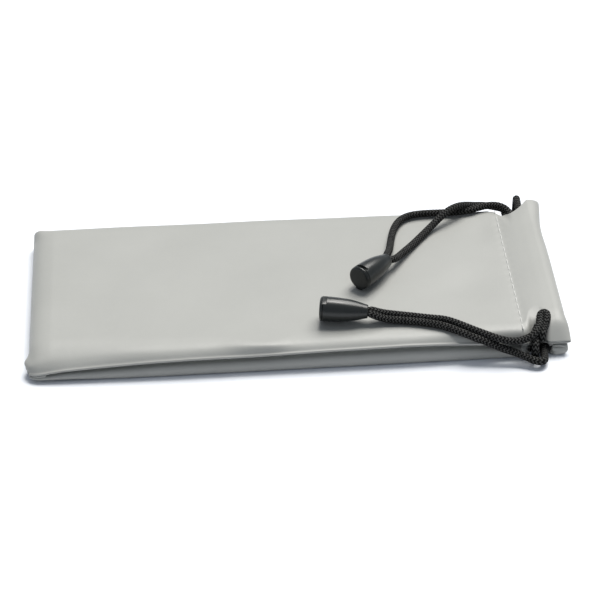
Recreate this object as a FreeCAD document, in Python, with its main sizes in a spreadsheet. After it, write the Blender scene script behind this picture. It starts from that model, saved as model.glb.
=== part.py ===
"""Soft drawstring pouch for eyeglasses, lying flat, as an assembly of separate pieces.

Frame: origin at the middle of the underside, +X from the closed end to the mouth, +Y across
the pouch, +Z up. Millimetres. Two leather panels are sewn edge to edge and each is folded over
at the mouth into a hem tunnel. Two drawcords run through both tunnels, in from opposite sides,
and each pair of tails ends in a knot inside a snap-lid bell.
"""
import FreeCAD, Part
import math
import os

import Sketcher

Vector = FreeCAD.Vector

DIMENSIONS = [
    ("half_length", 90.0, "closed end to mouth, halved"),
    ("half_width", 41.5, "side seam to side seam, halved"),
    ("body_height", 10.0, "height of the filled-out pouch"),
    ("seam_height", 5.0, "height of the seam between the two panels"),
    ("leather", 0.65, "thickness of one layer of leather"),
    ("end_height", 6.6, "top of the front panel at the closed end"),
    ("end_slope", 12.0, "length over which the closed end rises to full height"),
    ("toe_height", 1.6, "underside of the back panel at the closed end"),
    ("toe_slope", 5.0, "length over which the underside comes down to the table"),
    ("shoulder_round", 3.3, "rounding of the front panel's long edges"),
    ("base_round", 2.0, "rounding of the back panel's long edges"),
    ("flange_width", 5.0, "seam allowance turned to the inside"),
    ("seam_stop", 72.0, "place along the length where the side seams stop"),
    ("hem_start", 73.0, "place where the turned-in hem begins"),
    ("hem_stitch", 74.2, "place of the hem's row of stitches"),
    ("hem_rise", 75.2, "place where the tunnel starts to rise"),
    ("tunnel_start", 77.6, "place where the tunnel reaches full height"),
    ("mouth_height", 12.3, "height of the pouch over the hem tunnels"),
    ("tunnel_height", 2.7, "clear height inside a hem tunnel"),
    ("fold_round", 1.1, "bevel of the fold at the mouth"),
    ("front_hem_half", 37.6, "half the front tunnel's length across the pouch"),
    ("back_hem_half", 39.0, "half the back tunnel's length across the pouch"),
    ("notch_side", 30.0, "place across where the front tunnel's far end is open"),
    ("notch_end", 87.2, "place along the length where that open end stops"),
    ("slot_start", 77.6, "side slot for the cords, first edge"),
    ("slot_end", 85.2, "side slot for the cords, last edge"),
    ("slot_headroom", 1.2, "side slot above the back tunnel, for the cords' bend"),
    ("stitch_length", 2.6, "visible length of one stitch"),
    ("stitch_pitch", 4.0, "spacing of the stitches"),
    ("stitch_width", 0.5, "width of the thread"),
    ("stitch_height", 0.3, "height of a stitch over the leather"),
    ("seam_inset", 2.4, "side seam's stitches to the pouch's edge"),
    ("seam_margin", 4.0, "side seam's end to the first or last stitch"),
    ("hem_margin", 1.0, "front hem's end to the first or last stitch"),
    ("cord_diameter", 2.5, "braided drawcord"),
    ("near_lane", 83.0, "place along the length of the near drawcord in the tunnels"),
    ("far_lane", 79.4, "place along the length of the far drawcord in the tunnels"),
    ("near_loop", 46.0, "how far out the near drawcord's loop stands, on the far side"),
    ("far_loop", 45.5, "how far out the far drawcord's loop stands, on the near side"),
    ("bell_length", 15.0, "bell without its lid"),
    ("bell_radius", 4.22, "bell at its widest"),
    ("bell_straight", 3.0, "straight part of the bell behind its rim"),
    ("neck_radius", 2.3, "outside of the bell's neck"),
    ("neck_bore", 1.85, "hole through the neck"),
    ("rim_bevel", 0.25, "bevel of the bell's rim"),
    ("cavity_radius", 3.45, "hollow of the bell at its rim"),
    ("cavity_waist", 3.15, "hollow of the bell at its inner end"),
    ("cavity_depth", 8.5, "depth of the bell's hollow"),
    ("throat", 11.3, "place where the hollow has narrowed to the neck hole"),
    ("catch_width", 4.8, "catch notch in the rim"),
    ("catch_depth", 1.3, "depth of the catch notch"),
    ("catch_floor", 2.6, "height above the axis where the catch notch starts"),
    ("lid_gap", 0.15, "gap between the lid and the rim"),
    ("lid_thickness", 1.0, "lid's disc"),
    ("lid_round", 0.75, "bevel of the lid's outer edge"),
    ("plug_radius", 3.05, "lid's plug"),
    ("plug_wall", 0.8, "wall of the lid's plug"),
    ("plug_depth", 1.1, "plug's depth inside the bell"),
    ("strap_width", 2.4, "living hinge strap"),
    ("strap_thickness", 0.3, "living hinge strap"),
    ("strap_foot", 1.0, "length of the strap that is moulded on to the bell"),
    ("tongue_drop", 0.3, "catch tongue below the hollow's wall"),
    ("tongue_thickness", 0.35, "catch tongue"),
    ("play", 0.1, "running clearance"),
    ("knot_start", 2.9, "knot's blunt end inside the bell"),
    ("knot_end", 10.4, "knot's end towards the neck"),
    ("knot_radius", 2.75, "knot"),
    ("knot_swell", 2.2, "length over which the knot's blunt end swells"),
    ("knot_crown", 1.6, "length of the knot at its widest"),
    ("stem_radius", 1.75, "the two cord ends squeezed together in the neck"),
    ("stem_out", 1.6, "length of the squeezed pair outside the neck"),
]

# Two lengths in millimetres, or volumes in cubic millimetres, closer than this are the same.
SAME = 0.01

# Rounding of a stitch's ends as a share of its width, and the share of a cord's shorter run
# that the arc at each of its corners takes.
STITCH_ROUND = 0.48
ARC_REACH = 0.45

# Where each bell lies: the centre of its rim, and the direction from the rim to its neck.
BELLS = {
    "near": {"rim": (8.45, -28.2, 14.6), "towards": (15.4, -2.5, -0.5)},
    "far": {"rim": (22.4, -10.8, 14.9), "towards": (10.2, 11.3, -0.5)},
}

# Routes of the cords' free tails, from the bell to the tunnel they go into.
TAILS = {
    "near_drawcord_front_tail": [
        (25.2, -29.6, 14.05), (29.8, -30.1, 13.4), (36.0, -30.6, 11.9), (43.4, -32.2, 11.6),
        (50.0, -35.3, 11.7), (56.0, -39.4, 11.7), (61.6, -42.8, 11.0), (67.2, -44.8, 11.0),
        (72.2, -44.9, 12.4), (76.6, -42.6, 14.2), (79.4, -38.0, 15.2), (80.0, -32.6, 15.4),
        (85.2, -32.4, 15.4), (84.9, -38.2, 15.4), (83.0, -44.0, 15.3), (83.0, -44.0, 10.3),
        (83.0, -37.6, 10.3),
    ],
    "near_drawcord_back_tail": [
        (24.8, -32.15, 14.05), (29.4, -33.0, 13.3), (35.6, -34.0, 11.9), (42.8, -35.5, 11.6),
        (49.0, -38.6, 11.5), (54.6, -42.4, 10.6), (60.2, -45.4, 8.6), (66.0, -46.6, 6.6),
        (71.6, -47.9, 4.6), (76.6, -49.2, 3.2), (81.0, -48.6, 2.4), (83.0, -45.6, 2.0),
        (83.0, -42.0, 2.0),
    ],
    "far_drawcord_front_tail": [
        (32.65, 2.5, 14.35), (34.6, 7.3, 13.6), (35.4, 13.8, 12.0), (35.8, 20.2, 11.6),
        (36.8, 26.6, 11.6), (40.8, 32.2, 11.6), (46.8, 35.6, 11.5), (53.4, 35.4, 11.5),
        (59.8, 35.0, 11.5), (66.0, 35.4, 11.6), (71.4, 37.6, 12.0), (75.8, 38.9, 11.4),
        (79.0, 36.8, 10.6), (79.4, 33.4, 10.3), (79.4, 29.0, 10.3),
    ],
    "far_drawcord_back_tail": [
        (34.6, 0.8, 14.35), (37.5, 4.8, 13.5), (41.2, 11.0, 11.9), (45.6, 17.0, 11.7),
        (49.8, 23.0, 12.5), (54.0, 28.8, 14.2), (58.2, 34.0, 15.0), (63.2, 38.6, 14.6),
        (68.6, 41.2, 13.2), (73.6, 42.8, 11.4), (77.4, 44.4, 8.9), (79.4, 46.0, 7.2),
        (79.4, 46.0, 2.0), (79.4, 40.6, 2.0),
    ],
}

doc = FreeCAD.newDocument("pouch")
sheet = doc.addObject("Spreadsheet::Sheet", "sheet")
for row, (alias, number, note) in enumerate(DIMENSIONS, start=1):
    sheet.set("A%d" % row, alias)
    sheet.set("B%d" % row, str(number))
    sheet.set("C%d" % row, note)
    sheet.setAlias("B%d" % row, alias)
doc.recompute()

parts = []


def size(alias):
    """A driving dimension, read from the sheet."""
    return float(sheet.get(alias))


def formula(text):
    """An expression on the sheet: every word that is an alias gets the sheet's name."""
    words = []
    for word in text.split():
        words.append("sheet." + word if word[0].isalpha() else word)
    return " ".join(words)


def origin_plane(body, role):
    """One of a body's own origin planes or axes."""
    for feature in body.Origin.OriginFeatures:
        if feature.Role == role:
            return feature
    raise ValueError(role)


def new_body(name):
    """An empty body, whose label names its file."""
    body = doc.addObject("PartDesign::Body", name)
    body.Label = name
    parts.append(body)
    return body


def outline_sketch(body, name, plane, corners, offset=None):
    """A closed outline whose corners are pairs of sheet expressions, drawn on an origin plane."""
    sketch = body.newObject("Sketcher::SketchObject", name)
    sketch.AttachmentSupport = [(origin_plane(body, plane), "")]
    sketch.MapMode = "FlatFace"
    if offset:
        sketch.setExpression(".AttachmentOffset.Base.z", formula(offset))
    count = len(corners)
    ring = [Vector(math.cos(2 * math.pi * i / count), math.sin(2 * math.pi * i / count), 0)
            for i in range(count)]
    for i in range(count):
        sketch.addGeometry(Part.LineSegment(ring[i], ring[(i + 1) % count]), False)
    for i in range(count):
        sketch.addConstraint(Sketcher.Constraint("Coincident", i, 2, (i + 1) % count, 1))
    for i, (across, up) in enumerate(corners):
        for kind, text in (("DistanceX", across), ("DistanceY", up)):
            index = sketch.addConstraint(Sketcher.Constraint(kind, -1, 1, i, 1, 1.0 + i))
            sketch.setExpression("Constraints[%d]" % index, formula(text))
    doc.recompute()
    return sketch


def rectangle(low_x, low_y, high_x, high_y):
    """The corners of an upright rectangle, as sheet expressions."""
    return [(low_x, low_y), (high_x, low_y), (high_x, high_y), (low_x, high_y)]


def pad(body, name, sketch, length, symmetric=False, reverse=False):
    """A pad whose length is a sheet expression."""
    feature = body.newObject("PartDesign::Pad", name)
    feature.Profile = sketch
    feature.setExpression("Length", formula(length))
    feature.Midplane = symmetric
    feature.Reversed = reverse
    doc.recompute()
    return feature


def pocket(body, name, sketch, length, symmetric=False, reverse=False):
    """A pocket that must take something away."""
    before = body.Shape.Volume
    feature = body.newObject("PartDesign::Pocket", name)
    feature.Profile = sketch
    feature.setExpression("Length", formula(length))
    feature.Midplane = symmetric
    feature.Reversed = reverse
    doc.recompute()
    if body.Shape.Volume > before - SAME:
        raise ValueError("%s cuts nothing" % name)
    return feature


def edges_where(shape, test):
    """The names of the edges whose middle passes a test."""
    names = []
    for number, edge in enumerate(shape.Edges, start=1):
        low, high = edge.ParameterRange
        if test(edge.valueAt((low + high) / 2), edge):
            names.append("Edge%d" % number)
    return names


def faces_where(shape, test):
    """The names of the faces whose centre passes a test."""
    return ["Face%d" % number for number, face in enumerate(shape.Faces, start=1)
            if test(face.CenterOfMass)]


def round_edges(body, name, radius, test):
    """A fillet on the edges that pass a test."""
    base = body.Tip
    feature = body.newObject("PartDesign::Fillet", name)
    feature.Base = (base, edges_where(base.Shape, test))
    feature.setExpression("Radius", formula(radius))
    doc.recompute()
    return feature


def hollow(body, name, test):
    """A skin of one leather thickness, open at the faces that pass a test."""
    base = body.Tip
    feature = body.newObject("PartDesign::Thickness", name)
    feature.Base = (base, faces_where(base.Shape, test))
    feature.setExpression("Value", formula("leather"))
    feature.Reversed = True
    doc.recompute()
    return feature


def near_to(value, target):
    """Whether two coordinates are the same."""
    return abs(value - target) < SAME


def add_flange(body, direction):
    """The seam allowance: a strip along both sides and the closed end, inside the skin."""
    skin = "leather / 2"
    inner_x = "flange_width + leather - half_length"
    inner_y = "half_width - leather - flange_width"
    near_y = "flange_width + leather - half_width"
    corners = [
        ("seam_stop", "half_width - " + skin), (skin + " - half_length", "half_width - " + skin),
        (skin + " - half_length", skin + " - half_width"), ("seam_stop", skin + " - half_width"),
        ("seam_stop", near_y), (inner_x, near_y), (inner_x, inner_y), ("seam_stop", inner_y),
    ]
    sketch = outline_sketch(body, body.Name + "_flange_sketch", "XY_Plane", corners, "seam_height")
    pad(body, body.Name + "_flange", sketch, "leather", reverse=direction < 0)


def make_front_panel():
    """The upper panel: a skin with rounded shoulders, its flange, and the raised hem tunnel."""
    body = new_body("front_panel")
    side = [
        ("0 - half_length", "seam_height"), ("half_length", "seam_height"),
        ("half_length", "body_height"), ("end_slope - half_length", "body_height"),
        ("0 - half_length", "end_height"),
    ]
    sketch = outline_sketch(body, "front_side", "XZ_Plane", side)
    pad(body, "front_block", sketch, "half_width * 2", symmetric=True)
    half_width = size("half_width")
    seam = size("seam_height")
    round_edges(body, "front_shoulders", "shoulder_round",
                lambda p, e: near_to(abs(p.y), half_width) and p.z > seam + 1.0
                and abs(p.x) < size("half_length") - 0.5)
    hollow(body, "front_skin",
           lambda p: near_to(p.z, seam) or near_to(p.x, size("half_length")))
    add_flange(body, 1)
    inner_top = "mouth_height - 2 * leather - tunnel_height"
    hem = [
        ("hem_start", inner_top), ("hem_start", "body_height - leather / 2"),
        ("hem_rise", "body_height - leather / 2"), ("tunnel_start", "mouth_height"),
        ("half_length - fold_round", "mouth_height"), ("half_length", "mouth_height - fold_round"),
        ("half_length", inner_top + " + fold_round"), ("half_length - fold_round", inner_top),
    ]
    sketch = outline_sketch(body, "front_hem_sketch", "XZ_Plane", hem)
    pad(body, "front_hem", sketch, "front_hem_half * 2", symmetric=True)
    floor = "mouth_height - leather - tunnel_height"
    tunnel = [
        ("hem_rise + leather", floor), ("hem_rise + leather", "body_height - leather"),
        ("tunnel_start + leather / 2", "mouth_height - leather"),
        ("half_length - fold_round - leather / 2", "mouth_height - leather"),
        ("half_length - leather", "mouth_height - leather / 2 - fold_round"),
        ("half_length - leather", floor + " - leather / 2 + fold_round"),
        ("half_length - fold_round - leather / 2", floor),
    ]
    sketch = outline_sketch(body, "front_tunnel_sketch", "XZ_Plane", tunnel)
    pocket(body, "front_tunnel", sketch, "front_hem_half * 2 + 1", symmetric=True)
    notch = rectangle("hem_rise", "notch_side", "notch_end", "half_width + 1")
    sketch = outline_sketch(body, "front_notch_sketch", "XY_Plane", notch, floor)
    pocket(body, "front_notch", sketch, "mouth_height", reverse=True)
    slot = rectangle("slot_start", "0 - half_width - 1", "slot_end", "1 - front_hem_half")
    sketch = outline_sketch(body, "front_slot_sketch", "XY_Plane", slot, floor)
    pocket(body, "front_side_slot", sketch, "body_height - leather", reverse=True)
    groove = rectangle("hem_stitch - stitch_width", "0 - front_hem_half",
                       "hem_stitch + stitch_width", "front_hem_half")
    sketch = outline_sketch(body, "front_groove_sketch", "XY_Plane", groove,
                            "body_height - stitch_height")
    pocket(body, "front_stitch_groove", sketch, "leather", reverse=True)
    return body


def make_back_panel():
    """The lower panel: a shallow tray that lies on the table, with its hem tunnel inside."""
    body = new_body("back_panel")
    side = [
        ("0 - half_length", "seam_height"), ("0 - half_length", "toe_height"),
        ("toe_slope - half_length", "0"), ("half_length", "0"), ("half_length", "seam_height"),
    ]
    sketch = outline_sketch(body, "back_side", "XZ_Plane", side)
    pad(body, "back_block", sketch, "half_width * 2", symmetric=True)
    half_width = size("half_width")
    seam = size("seam_height")
    round_edges(body, "back_base", "base_round",
                lambda p, e: near_to(abs(p.y), half_width) and p.z < seam - 1.0
                and abs(p.x) < size("half_length") - 0.5)
    hollow(body, "back_skin",
           lambda p: near_to(p.z, seam) or near_to(p.x, size("half_length")))
    add_flange(body, -1)
    inner_top = "2 * leather + tunnel_height"
    hem = [
        ("hem_start", "leather / 2"), ("hem_start", "2 * leather"), ("hem_rise", "2 * leather"),
        ("tunnel_start", inner_top), ("half_length - fold_round", inner_top),
        ("half_length", inner_top + " - fold_round"), ("half_length", "leather / 2"),
    ]
    sketch = outline_sketch(body, "back_hem_sketch", "XZ_Plane", hem)
    pad(body, "back_hem", sketch, "back_hem_half * 2", symmetric=True)
    roof = "leather + tunnel_height"
    tunnel = [
        ("hem_rise + leather", "leather"), ("hem_rise + leather", "2 * leather"),
        ("tunnel_start + leather / 2", roof), ("half_length - fold_round - leather / 2", roof),
        ("half_length - leather", roof + " + leather / 2 - fold_round"),
        ("half_length - leather", "leather"),
    ]
    sketch = outline_sketch(body, "back_tunnel_sketch", "XZ_Plane", tunnel)
    pocket(body, "back_tunnel", sketch, "back_hem_half * 2 + 1", symmetric=True)
    slot = rectangle("slot_start", "leather", "slot_end", roof + " + slot_headroom")
    sketch = outline_sketch(body, "back_slot_sketch", "XZ_Plane", slot)
    pocket(body, "back_side_slots", sketch, "half_width * 2 + 2", symmetric=True)
    groove = rectangle("hem_stitch - stitch_width", "0 - back_hem_half",
                       "hem_stitch + stitch_width", "back_hem_half")
    sketch = outline_sketch(body, "back_groove_sketch", "XY_Plane", groove)
    pocket(body, "back_stitch_groove", sketch, "stitch_height", reverse=True)
    return body


def stitch_row(name, along, start, across, levels, length):
    """One row of stitches: a flat-bottomed stitch repeated along X or Y, on each level."""
    count = int(length // size("stitch_pitch")) + 1
    first = start + (length - (count - 1) * size("stitch_pitch")) / 2
    long_side = size("stitch_length")
    wide_side = size("stitch_width")
    solids = []
    for level in levels:
        for i in range(count):
            centre = first + i * size("stitch_pitch")
            dims = (long_side, wide_side) if along == "x" else (wide_side, long_side)
            middle = (centre, across) if along == "x" else (across, centre)
            corner = Vector(middle[0] - dims[0] / 2, middle[1] - dims[1] / 2, level)
            solid = Part.makeBox(dims[0], dims[1], size("stitch_height"), corner)
            upright = [e for e in solid.Edges if e.BoundBox.ZLength > size("stitch_height") / 2]
            solids.append(solid.makeFillet(wide_side * STITCH_ROUND, upright))
    row = doc.addObject("Part::Feature", name)
    row.Label = name
    row.Shape = Part.makeCompound(solids)
    row.Placement = FreeCAD.Placement()
    parts.append(row)


def make_stitches():
    """The five rows of thread: one in each hem and one in each of the three seams."""
    thread = size("stitch_height")
    above = size("seam_height") + size("leather")
    below = size("seam_height") - size("leather") - thread
    end = size("half_length") - size("seam_inset")
    edge = size("half_width") - size("seam_inset")
    front = size("front_hem_half") - size("hem_margin")
    back = size("back_hem_half") - 2 * size("hem_margin")
    margin = size("seam_margin")
    stitch_row("front_hem_thread", "y", -front, size("hem_stitch"),
               [size("body_height") - thread], 2 * front)
    stitch_row("back_hem_thread", "y", -back, size("hem_stitch"), [0.0], 2 * back)
    seam_length = size("seam_stop") + end - 2 * margin
    stitch_row("near_seam_thread", "x", margin - end, -edge, [above, below], seam_length)
    stitch_row("far_seam_thread", "x", margin - end, edge, [above, below], seam_length)
    stitch_row("end_seam_thread", "y", margin - edge, -end, [above, below], 2 * (edge - margin))


def bell_placement(side):
    """Turns the bell's own frame (axis +X from rim to neck, +Z up) into where it lies."""
    axis = Vector(*BELLS[side]["towards"]).normalize()
    left = Vector(0, 0, 1).cross(axis).normalize()
    turn = FreeCAD.Rotation(axis, left, axis.cross(left), "XYZ")
    return FreeCAD.Placement(Vector(*BELLS[side]["rim"]), turn)


def revolve(body, name, sketch):
    """A full turn about the sketch's horizontal axis."""
    feature = body.newObject("PartDesign::Revolution", name)
    feature.Profile = sketch
    feature.ReferenceAxis = (sketch, ["H_Axis"])
    feature.Angle = 360
    doc.recompute()
    return feature


def make_bell(side):
    """The bell: a turned shell with a curved flank, a catch notch and a living hinge strap."""
    body = new_body(side + "_bell")
    body.Placement = bell_placement(side)
    drop = size("bell_radius") - size("neck_radius")
    run = size("bell_length") - size("bell_straight")
    flank = (run * run + drop * drop) / (2 * drop)
    outer = [("rim_bevel", "bell_radius"), ("bell_straight", "bell_radius")]
    steps = 5
    for i in range(1, steps):
        reach = "( bell_length - bell_straight ) * %d / %d" % (i, steps)
        along = run * i / steps
        outer.append(("bell_straight + " + reach,
                      "bell_radius - %.4f" % (flank - math.sqrt(flank ** 2 - along ** 2))))
    inner = [
        ("bell_length", "neck_radius"), ("bell_length", "neck_bore"), ("throat", "neck_bore"),
        ("cavity_depth", "cavity_waist"), ("0", "cavity_radius"),
        ("0", "bell_radius - rim_bevel"),
    ]
    sketch = outline_sketch(body, side + "_bell_section", "XZ_Plane", outer + inner)
    revolve(body, side + "_bell_shell", sketch)
    notch = rectangle("0 - 1", "0 - catch_width / 2", "catch_depth", "catch_width / 2")
    sketch = outline_sketch(body, side + "_bell_notch_sketch", "XY_Plane", notch, "catch_floor")
    pocket(body, side + "_bell_notch", sketch, "bell_radius", reverse=True)
    strap = rectangle("play - lid_gap - lid_thickness", "0 - strap_width / 2", "strap_foot",
                      "strap_width / 2")
    sketch = outline_sketch(body, side + "_bell_strap_sketch", "XY_Plane", strap,
                            "0 - bell_radius")
    pad(body, side + "_bell_strap", sketch, "strap_thickness")
    strap_end = size("play") - size("lid_gap") - size("lid_thickness")
    round_edges(body, side + "_hinge_round", "strap_thickness * 49 / 100",
                lambda p, e: near_to(p.x, strap_end) and near_to(e.Length, size("strap_width")))
    return body


def make_lid(side):
    """The lid: a disc with a bevelled edge, a ring plug, a catch tongue and a hinge foot."""
    body = new_body(side + "_bell_lid")
    body.Placement = bell_placement(side)
    face = "0 - lid_gap - lid_thickness"
    section = [
        (face, "0"), (face, "bell_radius - lid_round"),
        (face + " + lid_round / 3", "bell_radius - lid_round / 3"),
        (face + " + lid_round", "bell_radius - play / 2"),
        ("0 - lid_gap - rim_bevel", "bell_radius - play / 2"),
        ("0 - lid_gap", "bell_radius - rim_bevel"), ("0 - lid_gap", "plug_radius"),
        ("plug_depth - rim_bevel", "plug_radius"), ("plug_depth", "plug_radius - rim_bevel"),
        ("plug_depth", "plug_radius - plug_wall"), ("0 - lid_gap", "plug_radius - plug_wall"),
        ("0 - lid_gap", "0"),
    ]
    sketch = outline_sketch(body, side + "_lid_section", "XZ_Plane", section)
    revolve(body, side + "_lid_disc", sketch)
    recess = rectangle(face + " - 1", "0 - strap_width / 2 - play", "1", "strap_width / 2 + play")
    sketch = outline_sketch(body, side + "_lid_recess_sketch", "XY_Plane", recess,
                            "strap_thickness + play - bell_radius")
    pocket(body, side + "_lid_recess", sketch, "bell_radius")
    tongue = rectangle("0 - lid_gap - rim_bevel", "play - catch_width / 2",
                       "catch_depth - play", "catch_width / 2 - play")
    sketch = outline_sketch(body, side + "_lid_tongue_sketch", "XY_Plane", tongue,
                            "cavity_radius - tongue_drop")
    pad(body, side + "_lid_tongue", sketch, "tongue_thickness")
    return body


def make_knot(side):
    """The knot in the bell, with the two cord ends squeezed together in the neck."""
    body = new_body(side + "_drawcord_knot")
    body.Placement = bell_placement(side)
    section = [
        ("knot_start", "0"), ("knot_start", "knot_radius / 2"),
        ("knot_start + knot_swell / 2", "knot_radius * 7 / 8"),
        ("knot_start + knot_swell", "knot_radius"),
        ("knot_start + knot_swell + knot_crown", "knot_radius"),
        ("knot_start + knot_swell + knot_crown * 2", "knot_radius * 7 / 8"),
        ("knot_end", "stem_radius"), ("bell_length + stem_out", "stem_radius"),
        ("bell_length + stem_out", "0"),
    ]
    sketch = outline_sketch(body, side + "_knot_section", "XZ_Plane", section)
    revolve(body, side + "_knot_solid", sketch)
    return body


def cord_path(points):
    """Straight runs joined by tangent arcs, each as large as its two runs allow."""
    corners = [Vector(*point) for point in points]
    edges = []
    radii = []
    start = corners[0]
    for before, corner, after in zip(corners, corners[1:], corners[2:]):
        back = (before - corner).normalize()
        ahead = (after - corner).normalize()
        half_turn = (math.pi - back.getAngle(ahead)) / 2
        reach = ARC_REACH * min(before.distanceToPoint(corner), after.distanceToPoint(corner))
        radius = reach / math.tan(half_turn)
        bisector = (back + ahead).normalize()
        middle = corner + bisector * (radius / math.cos(half_turn) - radius)
        enter = corner + back * reach
        leave = corner + ahead * reach
        edges.append(Part.LineSegment(start, enter).toShape())
        edges.append(Part.Arc(enter, middle, leave).toShape())
        start = leave
        radii.append(radius)
    edges.append(Part.LineSegment(start, corners[-1]).toShape())
    return Part.Wire(edges), radii


def make_cord(name, points):
    """A round tube along a route, checked against its section times its length."""
    path, radii = cord_path(points)
    radius = size("cord_diameter") / 2
    start = Vector(*points[0])
    ring = Part.Wire([Part.makeCircle(radius, start, Vector(*points[1]) - start)])
    tube = path.makePipeShell([ring], True, False)
    expected = math.pi * radius ** 2 * path.Length
    print("%-26s length %6.1f  volume ratio %.4f  smallest radius %.1f  radii %s" % (
        name, path.Length, tube.Volume / expected, min(radii), ["%.1f" % r for r in radii]))
    cord = doc.addObject("Part::Feature", name)
    cord.Label = name
    cord.Shape = tube
    cord.Placement = FreeCAD.Placement()
    parts.append(cord)


def loop_route(side):
    """Through the front tunnel, round the far side in a loop, and back through the back tunnel."""
    lane = size(side + "_lane")
    upper = size("mouth_height") - size("leather") - size("tunnel_height") / 2
    lower = size("leather") + size("tunnel_height") / 2
    outward = 1 if side == "near" else -1
    out = outward * size(side + "_loop")
    front_end = TAILS[side + "_drawcord_front_tail"][-1][1]
    back_end = TAILS[side + "_drawcord_back_tail"][-1][1]
    return [(lane, front_end, upper), (lane, out, upper), (lane, out, lower),
            (lane, back_end, lower)]


make_front_panel()
make_back_panel()
make_stitches()
for side in ("near", "far"):
    make_bell(side)
    make_lid(side)
    make_knot(side)
    make_cord(side + "_drawcord_loop", loop_route(side))
for name, points in TAILS.items():
    make_cord(name, points)

doc.recompute()
for item in doc.Objects:
    if "Invalid" in item.State or "Error" in item.State:
        raise RuntimeError("%s failed: %s" % (item.Label, item.State))
os.makedirs("parts", exist_ok=True)
for part in parts:
    if part.Shape.isNull() or not part.Shape.isValid():
        raise RuntimeError("%s has no valid shape" % part.Label)
    part.Shape.exportStep("parts/%s.step" % part.Label)
    print("%-26s solids %3d  volume %9.2f" % (
        part.Label, len(part.Shape.Solids), part.Shape.Volume))
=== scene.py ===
"""Looks of the soft drawstring pouch for eyeglasses: leather panels, thread, braided cords, bells.

Lengths in the tables below are millimetres, in the frame of the CAD part, and become metres
in MM when a mesh is made. The two leather panels are grids of points: rows run along the pouch,
from the seam allowance at the closed end to the turned-in hem, and columns run across it.
"""

import math

import bmesh
import bpy
import numpy as np
from mathutils import Matrix, Vector


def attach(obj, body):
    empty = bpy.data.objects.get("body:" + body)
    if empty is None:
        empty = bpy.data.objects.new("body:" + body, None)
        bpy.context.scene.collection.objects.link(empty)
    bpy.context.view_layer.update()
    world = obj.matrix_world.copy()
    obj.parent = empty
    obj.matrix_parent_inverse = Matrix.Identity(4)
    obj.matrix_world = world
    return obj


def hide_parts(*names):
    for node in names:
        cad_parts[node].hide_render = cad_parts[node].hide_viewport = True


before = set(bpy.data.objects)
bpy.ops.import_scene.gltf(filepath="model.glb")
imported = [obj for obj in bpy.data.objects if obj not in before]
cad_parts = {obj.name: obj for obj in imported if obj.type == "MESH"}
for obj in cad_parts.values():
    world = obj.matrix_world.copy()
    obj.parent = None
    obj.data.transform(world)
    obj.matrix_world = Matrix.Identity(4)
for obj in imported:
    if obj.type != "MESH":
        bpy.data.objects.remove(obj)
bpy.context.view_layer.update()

MM = 0.001
ALONG = np.array([1.0, 0.0, 0.0])
ACROSS = np.array([0.0, 1.0, 0.0])
UP = np.array([0.0, 0.0, 1.0])

# Leather and pouch
LEATHER = 0.65
HALF_LENGTH = 90.0
NEAR_EDGE = [(-90, -41.3), (-40, -41.7), (30, -41.7), (70, -41.5), (90, -41.2)]
FAR_EDGE = [(-90, 41.9), (-60, 41.2), (-30, 40.5), (0, 39.8), (40, 38.8), (70, 38.3), (90, 38.4)]
SEAM_RISE = [(-90, 2.2), (-79, 3.9), (-67, 4.7), (-50, 5.6), (-36, 6.0), (-16, 6.0), (8, 6.6),
             (36, 6.9), (48, 6.6), (60, 5.9), (74, 5.0), (82, 4.6), (90, 4.3)]
TOP_RISE = [(-90, 9.0), (-78, 9.2), (-60, 9.35), (-30, 9.4), (0, 9.5), (40, 9.6), (60, 9.75),
            (70, 9.9), (73.2, 9.9), (74.3, 9.7), (75.6, 9.95), (79.4, 10.55), (83, 11.0),
            (86.5, 11.2), (90, 11.15)]
SHOULDER = [(-90, 1.2), (-75, 1.7), (-45, 1.9), (-26, 1.6), (-18, 0.6), (-12, 0.3), (-8, 0.4),
            (-2, 1.4), (5, 1.7), (35, 1.6), (60, 1.1), (90, 0.5)]
SEAM_STOP = 71.5
HEM_SEAM = 74.3
TUNNEL_FULL = 78.0
FOLD_START = 86.0
HEM_END = 73.2
FRONT_TUNNEL = 3.7
BACK_TUNNEL = 3.6

# How a long edge of each panel rolls from the seam allowance to its flat: (inset, inset that
# grows with the shoulder, share of the rise). The front panel ends in a narrow brim over the
# back panel's lip. Both hems are open tubes at their ends, so they have edges of their own.
FRONT_ROLL = [
    (7.0, 0.0, 0.0), (4.5, 0.0, 0.0), (2.6, 0.0, 0.0), (1.2, 0.0, -0.01), (0.1, 0.0, -0.02),
    (-0.5, 0.0, 0.0), (-0.55, 0.0, 0.07), (-0.15, 0.0, 0.12), (0.15, 0.05, 0.22),
    (0.3, 0.3, 0.42), (0.42, 0.6, 0.58), (0.55, 1.0, 0.74), (0.75, 1.5, 0.87), (1.0, 2.3, 0.96),
    (1.5, 3.6, 1.0),
]
BACK_ROLL = [
    (7.0, 0.0, 0.0), (4.8, 0.0, 0.0), (3.4, 0.0, 0.0), (3.0, 0.0, 0.03), (2.8, 0.0, 0.12),
    (2.5, 0.0, 0.23), (1.7, 0.0, 0.31), (0.85, 0.0, 0.35), (0.25, 0.0, 0.42),
    (-0.12, 0.0, 0.54), (-0.28, 0.0, 0.70), (-0.25, 0.0, 0.86), (0.05, 0.0, 0.96),
    (0.8, 0.0, 1.0), (2.4, 0.0, 1.0),
]
OPEN_INSETS = [0.0, 0.02, 0.04, 0.06, 0.08, 0.12, 0.3, 0.7, 1.3, 2.1, 3.2, 4.4, 5.8, 7.8, 10.5]
SLOPE_RISES = [0.0, 0.0, 0.0, 0.0, 0.0, 0.01, 0.04, 0.11, 0.21, 0.34, 0.52, 0.69, 0.84, 0.94, 1.0]
SLOPED_EDGE = [(inset, 0.0, rise) for inset, rise in zip(OPEN_INSETS, SLOPE_RISES)]
FLAT_EDGE = [(inset, 0.0, 1.0) for inset in OPEN_INSETS]

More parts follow.
